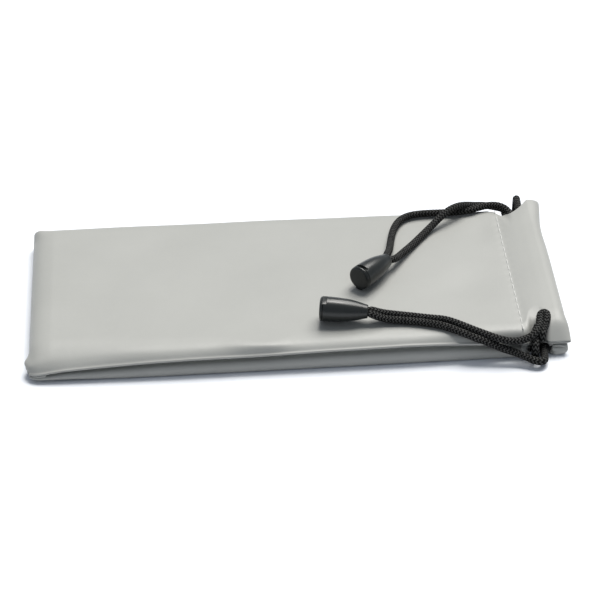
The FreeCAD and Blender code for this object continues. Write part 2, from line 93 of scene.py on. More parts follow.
# How both panels roll at the closed end: (inset, share of the rise).
END_ROLL = [
    (5.5, 0.0), (3.4, 0.0), (1.7, 0.0), (0.7, 0.06), (0.12, 0.22), (0.0, 0.4), (0.2, 0.56),
    (0.8, 0.72), (2.0, 0.86), (4.0, 0.955), (7.0, 1.0),
]

# Of a long edge: how many of its first points lie in the seam allowance, over what length the
# allowance fades out after SEAM_STOP, and the far edge's shoulder. Then the height of a folded
# layer, and the gap between the two panels at the seam.
TUCKED = 4
SEAM_FADE = 2.0
FAR_SHOULDER = 0.75
FOLDED = LEATHER * 1.08
CLEARANCE = 0.03

# Points that spline() lays along a span, usual and for short ones. Then the grids: the step of the
# rows along the pouch, the rows round the fold, and the columns across the flat.
SPAN_POINTS = 5
SHORT_SPAN_POINTS = 4
ROW_STEP = 0.7
FOLD_ROWS = 13
FLAT_COLUMNS = 72

# Creases of the upper leather: start, end, width and height. Dents: place, reach and depth.
CREASES = [((-44, -23), (-12.0, -41), 4.6, 0.16), ((-30, -17), (-5, -33), 4.2, -0.10)]
DENTS = [((82.5, -34.5), (3.5, 4.5), 0.2), ((58, -12), (9, 8), 0.30), ((68, 24), (5, 9), 0.35)]

# The front hem's far edge, cut back where the far cord leaves it: (place along, place across).
FAR_CUT = [(70, 38.3), (74.0, 37.6), (76.5, 34.8), (79.0, 31.8), (81.0, 33.1), (83.1, 34.9),
           (84.9, 37.3), (86.8, 39.7), (88.4, 41.1), (90, 42.1)]

# Stitches, then where the seams' rows lie: in from the edge, and above and below the seam.
STITCH_PITCH = 4.0
STITCH_HALF = STITCH_PITCH * 0.43
STITCH_RADIUS = 0.19
STITCH_RISE = 0.06
STITCH_DIP = 0.22
STITCH_STEPS = 9
STITCH_RING = 8
SEAM_INSET = 3.4
SEAM_PROUD = 0.85
END_SEAM = -87.6
END_SEAM_LIFT = 0.35
END_SEAM_PROUD = 0.75
UNDER_HEM = 0.27

# Braided cord
CORD = 2.5
BRAID_WALES = 6
BRAID_PITCH = 1.15
BRAID_SLANT = 0.62
RING_STEP = 0.16
RING_POINTS = 36
BRAID_LOW = 0.89
BRAID_RELIEF = 0.17
ROUTE_RESOLUTION = 24

# Where each bell lies, as in the CAD part: the centre of its rim, and rim to neck.
BELLS = {
    "near": ((8.45, -28.2, 14.6), (15.4, -2.5, -0.5)),
    "far": ((22.4, -10.8, 14.9), (10.2, 11.3, -0.5)),
}

# Half sections of the bell's shell and of its cap: (along, radius). BELL_FLANK and CAP_ROUND are
# smooth stretches, and the points after them lead round the inside.
BELL_RIM = [(0.0, 3.6), (0.0, 4.02), (0.12, 4.14), (0.28, 4.19)]
BELL_FLANK = [(0.45, 4.2), (2.6, 4.2), (5.6, 4.06), (8.8, 3.74), (11.6, 3.14), (13.4, 2.6),
              (14.4, 2.38), (14.75, 2.3)]
BELL_BORE = [(14.93, 2.22), (15.0, 2.08), (14.9, 1.94), (14.6, 1.88), (11.4, 1.88), (10.2, 2.35),
             (8.5, 3.12), (0.1, 3.45)]
CAP_FACE = [(-1.15, 0.0), (-1.15, 2.9)]
CAP_ROUND = [(-1.12, 3.2), (-1.05, 3.6), (-0.85, 3.95), (-0.5, 4.15), (-0.28, 4.16)]
CAP_PLUG = [(-0.17, 4.08), (-0.15, 3.95), (-0.15, 3.02), (0.95, 3.0), (1.08, 2.9), (1.08, 2.35),
            (0.95, 2.28), (-0.15, 2.25), (-0.15, 0.0)]

# Boxes that are cut from or joined to the shell and the cap, in the bell's own frame: two corners.
CATCH_NOTCH = ((-1.0, -2.4, 2.6), (1.3, 2.4, 6.0))
STRAP = ((-1.02, -1.2, -4.2), (1.0, 1.2, -3.93))
STRAP_RECESS = ((-2.0, -1.3, -6.0), (1.0, 1.3, -3.82))
TONGUE = ((-0.4, -2.3, 3.15), (1.2, 2.3, 3.48))
BELL_ROUNDING = 0.09
CAP_ROUNDING = 0.07

# The first points of a tail, in the bell's neck: how far along the bell, and how much of
# half the neck each tail takes. A tail is squeezed there, and widens between two lengths.
STEM = [(12.6, 1.0), (14.3, 1.0), (15.9, 1.4)]
STEM_HALF = 0.88
SQUEEZED = 0.94
WIDENS = (2.3, 3.8)

# The knot inside the bell: its middle along the bell, how far its turns reach along and across,
# its cord's radius, and its control points.
KNOT_MIDDLE = 6.4
KNOT_REACH = 1.7
KNOT_RADIUS = 1.15
KNOT_CORD = 0.86
KNOT_POINTS = 15

TAILS = {
    "near_drawcord_front_tail": [
        (27.8, -29.6, 12.7), (31.6, -29.9, 12.1), (37.4, -30.6, 11.5), (43.5, -32.3, 11.4),
        (49.1, -33.8, 11.5), (53.4, -37.0, 11.4), (57.3, -39.5, 10.8), (61.2, -41.2, 9.9),
        (64.5, -42.8, 9.2), (67.8, -43.7, 8.5), (71.2, -43.9, 8.0), (74.6, -43.2, 8.2),
        (77.4, -42.3, 9.2), (79.4, -39.9, 10.1), (80.1, -37.0, 10.9), (80.8, -33.3, 11.7),
        (83.1, -33.0, 11.7), (82.7, -36.4, 10.8), (81.5, -38.4, 9.4), (80.5, -41.2, 8.5),
        (80.2, -41.6, 6.0), (80.6, -39.0, 5.5), (81.3, -36.0, 7.3), (82.4, -32.0, 8.7),
        (83.0, -27.0, 9.2),
    ],
    "near_drawcord_back_tail": [
        (27.4, -32.2, 12.4), (31.0, -32.5, 11.6), (37.0, -33.1, 11.2), (43.2, -34.8, 11.15),
        (48.6, -37.0, 11.0), (53.0, -40.0, 10.5), (57.0, -41.9, 9.5), (60.8, -42.9, 8.3),
        (64.0, -43.6, 6.9), (67.4, -44.5, 5.6), (70.8, -45.0, 4.5), (74.1, -46.3, 3.5),
        (77.0, -48.0, 2.8), (79.6, -48.6, 2.5), (80.9, -46.6, 2.3), (80.9, -43.4, 2.2),
        (81.3, -39.6, 2.2), (82.4, -36.4, 2.2), (83.0, -33.0, 2.2),
    ],
    "far_drawcord_front_tail": [
        (33.0, 5.0, 13.8), (34.1, 9.0, 12.8), (34.9, 14.4, 11.8), (35.8, 19.8, 11.3),
        (36.9, 24.6, 11.2), (38.6, 29.0, 11.2), (41.3, 32.5, 11.2), (45.2, 34.2, 11.2),
        (50.4, 34.5, 11.2), (55.8, 34.2, 11.25), (60.6, 34.0, 11.4), (64.4, 34.2, 11.6),
        (68.0, 35.8, 11.6), (71.3, 37.2, 11.5), (74.8, 37.5, 11.4), (77.9, 36.1, 10.9),
        (79.6, 33.5, 9.8), (79.4, 30.4, 8.9), (79.4, 26.6, 8.8),
    ],
    "far_drawcord_back_tail": [
        (36.0, 3.2, 12.9), (39.1, 8.4, 12.1), (42.3, 13.4, 11.4), (45.8, 18.7, 11.2),
        (49.4, 23.6, 11.5), (52.3, 26.5, 12.6), (55.1, 28.9, 13.9), (58.3, 31.6, 14.5),
        (61.7, 34.0, 14.1), (64.7, 36.2, 12.7), (67.3, 38.4, 11.1), (70.3, 40.5, 9.7),
        (73.4, 42.2, 8.2), (76.4, 43.8, 6.4), (78.7, 45.3, 4.8), (79.4, 44.8, 2.8),
        (79.4, 42.0, 2.2), (79.4, 38.6, 2.2), (79.4, 34.8, 2.2),
    ],
}
LOOPS = {
    "near_drawcord_loop": [
        (83.0, -27.0, 9.2), (83.0, -16.0, 9.2), (83.0, 0.0, 9.2), (83.0, 16.0, 9.2),
        (83.0, 28.0, 9.2), (83.0, 34.0, 9.2), (83.1, 38.0, 9.3), (83.2, 41.8, 9.5),
        (83.3, 44.8, 9.5), (83.4, 46.0, 7.2), (83.3, 46.1, 4.7), (83.1, 45.6, 2.4),
        (83.0, 43.2, 2.1), (83.0, 38.0, 2.1), (83.0, 28.0, 2.2), (83.0, 14.0, 2.2),
        (83.0, 0.0, 2.2), (83.0, -16.0, 2.2), (83.0, -28.0, 2.2), (83.0, -33.0, 2.2),
    ],
    "far_drawcord_loop": [
        (79.4, 26.6, 8.8), (79.4, 14.0, 8.8), (79.4, 0.0, 8.8), (79.4, -16.0, 8.8),
        (79.4, -27.0, 8.7), (79.2, -32.0, 8.3), (78.8, -35.6, 7.2), (78.4, -38.6, 6.3),
        (78.1, -41.8, 7.2), (77.8, -44.6, 6.1), (77.6, -45.4, 3.8), (77.7, -44.6, 2.2),
        (78.4, -41.4, 2.1), (79.2, -35.6, 2.2), (79.4, -26.0, 2.2), (79.4, -13.0, 2.2),
        (79.4, 0.0, 2.2), (79.4, 14.0, 2.2), (79.4, 26.0, 2.2), (79.4, 34.8, 2.2),
    ],
}

# Camera
AZIMUTH = -2.82
ELEVATION = 33.49
ROLL = -1.43
DISTANCE = 0.8776
LENS = 152.04
SENSOR = 36.0
TARGET = (0.00216, -0.00018, 0.0)
CLIP_START = 0.05
CLIP_END = 20.0

# Lights: name, strength, spread in degrees and the way it stands. Then the floor and the world.
SUNS = [("key", 3.95, 42, (0.30, 0.50, 1.0)), ("edge", 0.75, 9, (0.10, 0.30, 1.0))]
SUN_COLOUR = (1.0, 0.98, 0.942)
FLOOR_COLOUR = (0.77, 0.79, 0.83, 1.0)
FLOOR_REACH = 4.0
WORLD_COLOUR = (0.83, 0.90, 1.0, 1.0)
WORLD_STRENGTH = 0.42

# Darkest and lightest colour of each material
LEATHER_COLOURS = ((0.284, 0.286, 0.270), (0.316, 0.318, 0.301))
THREAD_COLOURS = ((0.44, 0.44, 0.42), (0.62, 0.62, 0.60))
# The braid's lighter colour is a painted highlight: random flecks on the strands' crests.
BRAID_AND_HIGHLIGHT_COLOURS = ((0.0004, 0.0004, 0.0004), (0.088, 0.088, 0.085))
PLASTIC_COLOURS = ((0.0085, 0.0098, 0.0094), (0.0135, 0.0155, 0.0148))


def eased(place, pairs, width=2.0):
    """A value along a line, from (place, value) pairs, with its corners rounded off."""
    places, values = zip(*pairs)
    shifts = np.linspace(-width, width, 9)
    return sum(np.interp(place + s, places, values) for s in shifts) / len(shifts)


def step(value, low, high):
    """0 below low, 1 above high, and smooth in between."""
    share = np.clip((value - low) / (high - low), 0.0, 1.0)
    return share * share * (3.0 - 2.0 * share)


def hump(value, middle, width):
    """A smooth hump of height 1."""
    return np.exp(-((value - middle) / width) ** 2)


def spline(points, per_span=SPAN_POINTS):
    """Points along a uniform cubic B-spline that starts and ends at the outer points."""
    points = np.array(points, float)
    points = np.vstack([2 * points[0] - points[1], points, 2 * points[-1] - points[-2]])
    t = np.linspace(0.0, 1.0, per_span, endpoint=False)
    basis = np.array([(1 - t) ** 3, 3 * t ** 3 - 6 * t ** 2 + 4,
                      -3 * t ** 3 + 3 * t ** 2 + 3 * t + 1, t ** 3]).T / 6
    runs = [basis @ points[i:i + 4] for i in range(len(points) - 3)]
    return np.vstack(runs + [points[-2][None]])


# ---------------------------------------------------------------- leather surfaces

def crease(x, y, start, end, width, height):
    """A fold that fades in from start and ends soon after end."""
    run = np.subtract(end, start)
    length = np.hypot(*run)
    along = ((x - start[0]) * run[0] + (y - start[1]) * run[1]) / length ** 2
    aside = ((x - start[0]) * run[1] - (y - start[1]) * run[0]) / length
    return height * step(along, 0.0, 1.0) * step(-along, -1.6, -1.0) * hump(aside, 0.0, width)


def top_height(x, y):
    """Middle of the upper leather, before its edges roll down: waves, a low near edge, creases."""
    hem = step(x, 74, 78)
    height = eased(x, TOP_RISE, 0.8)
    wave = 0.10 * np.sin(x / 13.0 + y / 21.0) + 0.07 * np.sin(x / 7.1 - y / 9.3 + 1.0)
    height = height + wave * (1.0 - 0.5 * hem)
    height -= 0.25 * (y / 40.0) ** 2 * (1.0 - hem)
    height -= 2.5 * step(-y, 30.0, 42.5) * step(-x, 46, 86)
    height -= 0.2 * step(-y, 32.0, 42.0) * step(-x, 18, 40) * step(x, -60, -46)
    for start, end, width, rise in CREASES:
        height += crease(x, y, start, end, width, rise)
    for place, reach, depth in DENTS:
        height -= depth * hump(x, place[0], reach[0]) * hump(y, place[1], reach[1])
    height += 0.9 * step(x, 78, 89) * step(y, 24, 41)
    pucker = hump(x, HEM_SEAM, 1.3) * 0.07
    return height + pucker * np.cos(2 * math.pi * y / STITCH_PITCH)


def front_edges(x):
    """Where the front panel's long edges are: its hem is cut back at both ends for the cords."""
    near = eased(x, NEAR_EDGE) + 3.0 * step(x, 75.8, 77.4) * step(-x, -82.8, -81.2)
    far = eased(x, FAR_EDGE) if x < 72 else eased(x, FAR_CUT, 0.5)
    return near, far


def back_edges(x):
    """Where the back panel's long edges are, with a notch at each end of its hem."""
    notch = step(x, 75.6, 77.0) * step(-x, -86.0, -85.0)
    near = eased(x, NEAR_EDGE) - 0.3 + 2.4 * notch * step(-x, -83.4, -82.6)
    far = eased(x, FAR_EDGE) + 0.3 + 2.6 * step(x, 72, 80) - 1.8 * notch
    return near, far


def mouth_reach(upper, y):
    """How far the hem's fold reaches."""
    if upper:
        return 89.0 + 0.9 * step(-y, 31, 39) + 1.3 * step(y, 24, 41) - 0.3 * hump(y, 19, 8)
    return 88.9 + 0.7 * step(y, 24, 34) - 0.5 * step(y, 36, 41)


def joined(one, two, sharpness):
    """Two shares of a rise that meet at a corner: 1 where both are 1, and 0 where one is 0."""
    one, two = np.clip(one, 0.0, 1.0), np.clip(two, 0.0, 1.0)
    p = sharpness
    bottom = (one ** p + two ** p - (one * two) ** p) ** (1.0 / p)
    return one * two / np.maximum(bottom, 1e-6)


def row_places():
    """Rows of a panel: (place, share of the end's rise, layer), outer layer 0, inner layer 1."""
    rows = [(-HALF_LENGTH + inset, rise, 0.0) for inset, rise in spline(END_ROLL, SHORT_SPAN_POINTS)]
    for x in np.arange(rows[-1][0] + ROW_STEP, FOLD_START, ROW_STEP):
        rows.append((x, 1.0, 0.0))
    for layer in np.linspace(0.0, 1.0, FOLD_ROWS):
        rows.append((FOLD_START, 1.0, layer))
    for x in np.arange(FOLD_START - ROW_STEP, HEM_END, -ROW_STEP):
        rows.append((x, 1.0, 1.0))
    return np.array(rows)


def side_roll(upper, x, near):
    """The roll of a long edge at one place along the pouch: insets and shares of the rise."""
    body = spline(FRONT_ROLL if upper else BACK_ROLL)
    hem = spline(SLOPED_EDGE if upper and near else FLAT_EDGE)
    opened = step(x, 73.6, 79.6) if upper else step(x, 74.6, 76.6)
    if near and not upper:
        opened = opened * step(-x, -84.6, -83.2)
    shoulder = eased(x, SHOULDER) if near else FAR_SHOULDER
    inset = body[:, 0] + shoulder * body[:, 1]
    if near and not upper:
        inset = inset * (1.0 - 0.6 * step(x, 76.0, 82.0))
    tucked = np.arange(len(body)) < TUCKED * SPAN_POINTS
    seamed = step(-x, -(SEAM_STOP + SEAM_FADE), -SEAM_STOP)
    last = inset[TUCKED * SPAN_POINTS]
    inset = np.where(tucked, last + (inset - last) * (0.02 + 0.98 * seamed), inset)
    inset = inset * (1.0 - opened) + hem[:, 0] * opened
    return inset, body[:, 2] * (1.0 - opened) + hem[:, 2] * opened


def panel_points(upper):
    """The middle surface of a panel as a grid of points."""
    inner = FLAT_COLUMNS
    grid = []
    for x, end_rise, layer in row_places():
        near, far = front_edges(x) if upper else back_edges(x)
        near_inset, near_rise = side_roll(upper, x, True)
        far_inset, far_rise = side_roll(upper, x, False)
        start, stop = near + near_inset, far - far_inset
        middle = np.linspace(start[-1], stop[-1], inner + 2)[1:-1]
        y = np.concatenate([start, middle, stop[::-1]])
        rise = np.concatenate([joined(near_rise, end_rise, 1.6), np.full(inner, end_rise),
                               joined(far_rise, end_rise, 4.0)[::-1]])
        lip = np.concatenate([1.0 - near_rise, np.zeros(inner), -(1.0 - far_rise)[::-1]])
        grid.append(panel_row(upper, x, y, rise, lip, layer))
    return np.array(grid)


def panel_row(upper, x, y, rise, lip, layer):
    """One row of a panel: its outer layer, the fold at the mouth or the hem's inner layer."""
    seam = eased(x, SEAM_RISE)
    opened = step(x, HEM_SEAM + 0.3, TUNNEL_FULL)
    if upper:
        foot = seam + LEATHER / 2 + CLEARANCE + 0.6 * opened
        outer = foot + (top_height(np.full_like(y, x), y) - foot) * rise
        inner = outer - FOLDED - (FRONT_TUNNEL - FOLDED) * opened
        inner = np.minimum(np.maximum(inner, seam + 0.35), outer - FOLDED)
        inner_y = y
    else:
        foot = seam - LEATHER / 2 - CLEARANCE
        lift = 0.9 * step(-x, 52.0, 88.0) * step(-y, 33.0, 41.5)
        base = LEATHER / 2 + 0.3 * hump(x, HEM_SEAM, 1.6) + lift
        outer = foot + (base - foot) * rise
        inner = outer + FOLDED + (BACK_TUNNEL - FOLDED) * opened
        inner = np.minimum(inner, np.maximum(seam - 0.7, outer + FOLDED * (1.0 - np.abs(lip))))
        inner_y = y + 0.9 * lip
    share = (1.0 - math.cos(layer * math.pi)) / 2
    z = outer * (1.0 - share) + inner * share
    y = y * (1.0 - share) + inner_y * share
    place = x + (mouth_reach(upper, y) - x) * math.sin(layer * math.pi) if layer % 1.0 else x
    place = np.full_like(y, 1.0) * place
    return corner_ear(upper, place, y, z, rise)


def corner_ear(upper, x, y, z, rise):
    """The closed end's corners: the turned seam pokes out as an ear, and the far one stands up."""
    low = 1.0 - step(rise, 0.25, 0.8)
    ear = hump(x, -91.0, 3.2) * low
    x = x - (1.7 if upper else 1.0) * ear * hump(y, -36.4, 2.6)
    z = z + (0.5 if upper else -0.3) * ear * hump(y, -36.4, 3.0)
    if upper:
        z = z + 1.6 * hump(x, -90.0, 3.4) * step(y, 34.0, 41.5) * rise
    y = y + 1.6 * hump(x, -91.0, 2.2) * step(-y, 38.5, 41.5)
    return np.stack([x, y, z], axis=1)


def grid_normals(grid):
    """Unit normals of a grid of points."""
    along = np.gradient(grid, axis=0)
    across = np.gradient(grid, axis=1)
    normal = np.cross(along, across)
    return normal / np.maximum(np.linalg.norm(normal, axis=2, keepdims=True), 1e-9)


def thick_sheet(name, grid, thickness):
    """A closed mesh: the grid's surface with a thickness, in metres."""
    normal = grid_normals(grid)
    rows, columns = grid.shape[:2]
    offset = rows * columns
    skins = [grid + normal * thickness / 2, grid - normal * thickness / 2]
    points = np.concatenate([skin.reshape(-1, 3) for skin in skins]) * MM
    index = np.arange(offset).reshape(rows, columns)
    lower = index + offset
    faces = np.stack([index[:-1, :-1], index[1:, :-1], index[1:, 1:], index[:-1, 1:]], axis=2)
    under = np.stack([lower[:-1, :-1], lower[:-1, 1:], lower[1:, 1:], lower[1:, :-1]], axis=2)
    rim = np.concatenate([index[0, :], index[1:, -1], index[-1, -2::-1], index[-2:0:-1, 0]])
    following = np.roll(rim, -1)
    edge = np.stack([rim, following, following + offset, rim + offset], axis=1)
    everything = np.concatenate([faces.reshape(-1, 4), under.reshape(-1, 4), edge])
    mesh = bpy.data.meshes.new(name)
    mesh.from_pydata(points.tolist(), [], everything.tolist())
    mesh.validate()
    mesh.shade_smooth()
    return link(name, mesh)


def link(name, mesh):
    """An object for a mesh, in the scene."""
    piece = bpy.data.objects.new(name, mesh)
    bpy.context.scene.collection.objects.link(piece)
    return piece


# ---------------------------------------------------------------- tubes: cords and thread

def route_line(points, spacing):
    """Points evenly spaced along the NURBS spline that has these control points."""
    curve = bpy.data.curves.new("route", "CURVE")
    curve.dimensions = "3D"
    curve.resolution_u = ROUTE_RESOLUTION
    route = curve.splines.new("NURBS")
    route.points.add(len(points) - 1)
    for control, point in zip(route.points, points):
        control.co = (*point, 1.0)
    route.order_u = 3
    route.use_endpoint_u = True
    holder = bpy.data.objects.new("route", curve)
    bpy.context.scene.collection.objects.link(holder)
    line = bpy.data.meshes.new_from_object(holder)
    places = np.array([v.co for v in line.vertices], float)
    bpy.data.objects.remove(holder)
    bpy.data.curves.remove(curve)
    bpy.data.meshes.remove(line)
    lengths = np.concatenate([[0.0], np.cumsum(np.linalg.norm(np.diff(places, axis=0), axis=1))])
    keep = np.concatenate([[True], np.diff(lengths) > 1e-7])
    places, lengths = places[keep], lengths[keep]
    even = np.linspace(0.0, lengths[-1], int(lengths[-1] / spacing) + 2)
    return np.stack([np.interp(even, lengths, places[:, k]) for k in range(3)], axis=1), even


def ring_frames(line):
    """Two directions across a line at each of its points, without twist."""
    tangent = np.gradient(line, axis=0)
    tangent /= np.linalg.norm(tangent, axis=1, keepdims=True)
    side = np.cross(tangent[0], (0.0, 0.0, 1.0))
    if np.linalg.norm(side) < 0.1:
        side = np.cross(tangent[0], (0.0, 1.0, 0.0))
    first = np.zeros_like(line)
    for i, direction in enumerate(tangent):
        side = side - direction * (side @ direction)
        side = side / np.linalg.norm(side)
        first[i] = side
    return first, np.cross(tangent, first)


def tube(name, line, radii, ring, uv=None):
    """A closed tube along a line. radii is one radius for each point of each ring."""
    first, second = ring_frames(line)
    angles = np.linspace(0.0, 2 * math.pi, ring, endpoint=False)
    spokes = (first[:, None] * np.cos(angles)[None, :, None]
              + second[:, None] * np.sin(angles)[None, :, None])
    points = line[:, None] + spokes * radii[:, :, None]
    count = len(line)
    points = np.concatenate([points.reshape(-1, 3), line[:1], line[-1:]]) * MM
    index = np.arange(count * ring).reshape(count, ring)
    after = np.roll(index, -1, axis=1)
    walls = np.stack([index[:-1], after[:-1], after[1:], index[1:]], axis=2).reshape(-1, 4)
    faces = walls.tolist()
    faces += [[count * ring, b, a] for a, b in zip(index[0], after[0])]
    faces += [[count * ring + 1, a, b] for a, b in zip(index[-1], after[-1])]
    mesh = bpy.data.meshes.new(name)
    mesh.from_pydata(points.tolist(), [], faces)
    mesh.shade_smooth()
    if uv is not None:
        add_tube_uv(mesh, uv, ring, count)
    return mesh


def add_tube_uv(mesh, along, ring, count):
    """UVs of a tube: once around in U, and V as given for each ring."""
    layer = mesh.uv_layers.new(name="around_along")
    walls = (count - 1) * ring
    u = np.arange(ring) / ring
    corner_u = np.stack([u, u + 1 / ring, u + 1 / ring, u], axis=1)
    corner_v = np.stack([along[:-1], along[:-1], along[1:], along[1:]], axis=1)
    values = np.zeros((len(mesh.loops), 2))
    values[:walls * 4, 0] = np.tile(corner_u.ravel(), count - 1)
    values[:walls * 4, 1] = np.repeat(corner_v[:, None], ring, axis=1).reshape(-1)
    layer.data.foreach_set("uv", values.ravel())


def braid_height(u, along):
    """Height of the braid's surface, 0 to 1: columns of slanted strands that form rows of Vs."""
    wale = np.abs((u * BRAID_WALES) % 1.0 - 0.5) * 2.0
    strand = np.abs(np.sin(math.pi * (along / BRAID_PITCH - BRAID_SLANT * wale)))
    return np.sqrt(strand) * (1.0 - 0.55 * wale ** 4) * (1.0 - 0.25 * (1.0 - wale) ** 4)


def bell_point(side, along, across):
    """A point by a bell's axis, in millimetres."""
    rim, towards = (np.array(v) for v in BELLS[side])
    axis = towards / np.linalg.norm(towards)
    left = np.cross((0.0, 0.0, 1.0), axis)
    return tuple(rim + axis * along + left / np.linalg.norm(left) * across)


def bell_matrix(side):
    """The bell's own frame, axis +X from rim to neck, as a matrix in metres."""
    rim, towards = (Vector(v) for v in BELLS[side])
    axis = towards.normalized()
    left = Vector((0, 0, 1)).cross(axis).normalized()
    up = axis.cross(left)
    turn = Matrix((axis, left, up)).transposed().to_4x4()
    return Matrix.Translation(rim * MM) @ turn @ Matrix.Scale(MM, 4)


def make_cord(name, points, finish, squeezed):
    """A braided cord along its route. Returns the piece, its line and its length in metres."""
    line, even = route_line(points, RING_STEP)
    u = np.arange(RING_POINTS) / RING_POINTS
    height = braid_height(u[None, :], even[:, None])
    radius = np.full(len(line), CORD / 2)
    if squeezed:
        radius = SQUEEZED + (CORD / 2 - SQUEEZED) * step(even, *WIDENS)
    radii = radius[:, None] * (BRAID_LOW + BRAID_RELIEF * height)
    piece = link(name, tube(name, line, radii, RING_POINTS, even / BRAID_PITCH))
    piece.data.materials.append(finish)
    return piece, line * MM, float(even[-1]) * MM


# ---------------------------------------------------------------- materials

def new_material(name, rough, specular=0.5):
    """A principled material and the two things that its nodes hang on."""
    material = bpy.data.materials.new(name)
    material.use_nodes = True
    shader = material.node_tree.nodes["Principled BSDF"]
    shader.inputs["Roughness"].default_value = rough
    shader.inputs["Specular IOR Level"].default_value = specular
    return material, material.node_tree, shader


def texture(tree, kind, scale, coordinates, **settings):
    """A texture node in object space, whose scale is per metre."""
    node = tree.nodes.new(kind)
    node.inputs["Scale"].default_value = scale
    for key, value in settings.items():
        node.inputs[key].default_value = value
    tree.links.new(coordinates, node.inputs["Vector"])
    return node


def object_space(tree):
    """Object coordinates."""
    return tree.nodes.new("ShaderNodeTexCoord").outputs["Object"]


def remap(tree, source, low, high, from_low=0.0, from_high=1.0):
    """A number moved from one range to another."""
    node = tree.nodes.new("ShaderNodeMapRange")
    node.inputs["From Min"].default_value = from_low
    node.inputs["From Max"].default_value = from_high
    node.inputs["To Min"].default_value = low
    node.inputs["To Max"].default_value = high
    tree.links.new(source, node.inputs["Value"])
    return node.outputs["Result"]


def two_colours(tree, factor, dark, light):
    """A colour ramp between two colours."""
    node = tree.nodes.new("ShaderNodeValToRGB")
    node.color_ramp.elements[0].color = (*dark, 1.0)
    node.color_ramp.elements[1].color = (*light, 1.0)
    tree.links.new(factor, node.inputs["Fac"])
    return node.outputs["Color"]


def bump(tree, height, strength, distance, onto=None):
    """A bump node, on top of another one if given."""
    node = tree.nodes.new("ShaderNodeBump")
    node.inputs["Strength"].default_value = strength
    node.inputs["Distance"].default_value = distance
    tree.links.new(height, node.inputs["Height"])
    if onto is not None:
        tree.links.new(onto, node.inputs["Normal"])
    return node.outputs["Normal"]


def leather_material():
    """Light grey imitation leather: fine pebbled grain, faint mottling, low sheen."""
    material, tree, shader = new_material("grey_leather", 0.42, 0.45)
    space = object_space(tree)
    mottle = texture(tree, "ShaderNodeTexNoise", 55.0, space, Detail=3.0, Roughness=0.5)
    colour = two_colours(tree, mottle.outputs["Fac"], *LEATHER_COLOURS)
    tree.links.new(colour, shader.inputs["Base Color"])
    grain = texture(tree, "ShaderNodeTexVoronoi", 2300.0, space, Randomness=0.9)
    ripple = texture(tree, "ShaderNodeTexNoise", 420.0, space, Detail=2.0, Roughness=0.5)
    normal = bump(tree, ripple.outputs["Fac"], 0.12, 0.0003)
    normal = bump(tree, grain.outputs["Distance"], 0.22, 0.00006, normal)
    tree.links.new(normal, shader.inputs["Normal"])
    rough = remap(tree, grain.outputs["Distance"], 0.38, 0.50, 0.0, 0.6)
    tree.links.new(rough, shader.inputs["Roughness"])
    return material


def thread_material():
    """Light grey sewing thread with a fine twist."""
    material, tree, shader = new_material("grey_thread", 0.6, 0.3)
    space = object_space(tree)
    fuzz = texture(tree, "ShaderNodeTexNoise", 4000.0, space, Detail=1.0)
    colour = two_colours(tree, fuzz.outputs["Fac"], *THREAD_COLOURS)
    tree.links.new(colour, shader.inputs["Base Color"])
    tree.links.new(bump(tree, fuzz.outputs["Fac"], 0.4, 0.0001), shader.inputs["Normal"])
    return material


def cord_material():
    """Black braided polyester with a painted highlight: flecks on the strands' crests are coloured
    lighter, and the rest stays black.
    """
    material, tree, shader = new_material("black_braid", 0.5, 0.10)
    around = tree.nodes.new("ShaderNodeUVMap")
    around.uv_map = "around_along"
    parts = tree.nodes.new("ShaderNodeSeparateXYZ")
    tree.links.new(around.outputs["UV"], parts.inputs["Vector"])
    wale = math_node(tree, "FRACT", math_node(tree, "MULTIPLY", parts.outputs["X"],
                                              float(BRAID_WALES)))
    wale = math_node(tree, "ABSOLUTE", math_node(tree, "SUBTRACT", wale, 0.5))
    slant = math_node(tree, "MULTIPLY", wale, 2.0 * BRAID_SLANT)
    turn = math_node(tree, "MULTIPLY", math_node(tree, "SUBTRACT", parts.outputs["Y"], slant),
                     math.pi)
    strand = math_node(tree, "ABSOLUTE", math_node(tree, "SINE", turn))
    fuzz = texture(tree, "ShaderNodeTexNoise", 2400.0, object_space(tree), Detail=2.0,
                   Roughness=0.6)
    mixed = math_node(tree, "ADD", strand, math_node(tree, "MULTIPLY", fuzz.outputs["Fac"], 1.1))
    # Painted highlight: the colour turns lighter where a strand's crest and the fuzz noise are both
    # high.
    share = remap(tree, mixed, 0.0, 1.0, 1.18, 1.80)
    colour = two_colours(tree, share, *BRAID_AND_HIGHLIGHT_COLOURS)
    tree.links.new(colour, shader.inputs["Base Color"])
    tree.links.new(bump(tree, mixed, 0.6, 0.00012), shader.inputs["Normal"])
    tree.links.new(remap(tree, share, 0.80, 0.40), shader.inputs["Roughness"])
    return material


def math_node(tree, operation, first, second=None):
    """A math node: each value is a socket or a number."""
    node = tree.nodes.new("ShaderNodeMath")
    node.operation = operation
    for socket, value in zip(node.inputs, (first, second)):
        if isinstance(value, float):
            socket.default_value = value
        elif value is not None:
            tree.links.new(value, socket)
    return node.outputs["Value"]


def plastic_material():
    """Black moulded plastic, satin, with a faint spark-eroded texture."""
    material, tree, shader = new_material("black_plastic", 0.3, 0.4)
    space = object_space(tree)
    pits = texture(tree, "ShaderNodeTexNoise", 3200.0, space, Detail=2.0, Roughness=0.6)
    cloud = texture(tree, "ShaderNodeTexNoise", 260.0, space, Detail=2.0)
    colour = two_colours(tree, cloud.outputs["Fac"], *PLASTIC_COLOURS)
    tree.links.new(colour, shader.inputs["Base Color"])
    tree.links.new(bump(tree, pits.outputs["Fac"], 0.12, 0.00004), shader.inputs["Normal"])
    tree.links.new(remap(tree, cloud.outputs["Fac"], 0.24, 0.34), shader.inputs["Roughness"])
    return material


# ---------------------------------------------------------------- pieces

